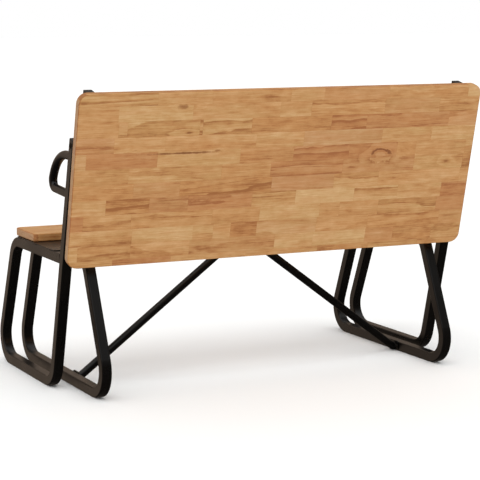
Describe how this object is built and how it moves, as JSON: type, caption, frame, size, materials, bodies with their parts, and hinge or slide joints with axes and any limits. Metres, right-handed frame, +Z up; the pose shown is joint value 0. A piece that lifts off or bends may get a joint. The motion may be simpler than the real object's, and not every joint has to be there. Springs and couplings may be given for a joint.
{
  "type": "convertible picnic table bench",
  "caption": "Garden bench on bent square-tube side frames; its wide wooden backrest tips over the posts to become a picnic table top.",
  "frame": {"origin": "on the floor, under the middle of the bench's overall box", "axes": "+Z up; +X along the bench, to the right of someone who faces the backrest from the front; -Y is the seat side and +Y the back"},
  "size_m": [1.3, 0.7492, 0.8809],
  "materials": {
    "table_wood": "oiled, satin, finger-jointed staves",
    "seat_wood": "oiled, satin, finger-jointed staves",
    "frame_metal": "satin powder coat, black brown",
    "zinc_steel": "zinc plated",
    "dark_steel": "black plated, satin",
    "black_plastic": "matte, fine grain",
    "black_rubber": "matte"
  },
  "bodies": {
    "frame": {"seat_board": "seat_wood", "seat_screws": "zinc_steel", "stretcher_plugs": "zinc_steel", "stretcher_bolts": "dark_steel", "brace_screws": "dark_steel", "post_bushes": "zinc_steel", "pivot_discs": "frame_metal", "clamp_washers": "zinc_steel", "seat_stretcher": "frame_metal", "brace_stretcher": "frame_metal", "left_outer_frame": "frame_metal", "left_inner_loop": "frame_metal", "left_post_cap": "black_plastic", "left_arm_loop": "frame_metal", "left_rest_buffer": "black_rubber", "left_pivot_bolt": "dark_steel", "left_seat_plate": "frame_metal", "left_brace": "frame_metal", "right_outer_frame": "frame_metal", "right_inner_loop": "frame_metal", "right_post_cap": "black_plastic", "right_arm_loop": "frame_metal", "right_rest_buffer": "black_rubber", "right_pivot_bolt": "dark_steel", "right_seat_plate": "frame_metal", "right_brace": "frame_metal"},
    "table": {"tabletop_panel": "table_wood", "table_inserts": "zinc_steel", "table_bolts": "dark_steel", "cleat_bushes": "zinc_steel", "cleat_end_plugs": "black_plastic", "left_cleat": "frame_metal", "right_cleat": "frame_metal"},
    "left_knob": {"left_clamp_knob": "black_plastic", "left_knob_insert": "zinc_steel"},
    "right_knob": {"right_clamp_knob": "black_plastic", "right_knob_insert": "zinc_steel"}
  },
  "joints": [
    {"name": "table_flip", "type": "hinge", "parent": "frame", "child": "table", "pos_m": [0, 0.29099, 0.727], "axis": [1, 0, 0], "range_deg": [0, 103.6]},
    {"name": "left_knob_turn", "type": "hinge", "parent": "frame", "child": "left_knob", "pos_m": [-0.57, 0.29099, 0.727], "axis": [1, 0, 0], "range_deg": [0, 360]},
    {"name": "right_knob_turn", "type": "hinge", "parent": "frame", "child": "right_knob", "pos_m": [0.57, 0.29099, 0.727], "axis": [-1, 0, 0], "range_deg": [0, 360]}
  ]
}
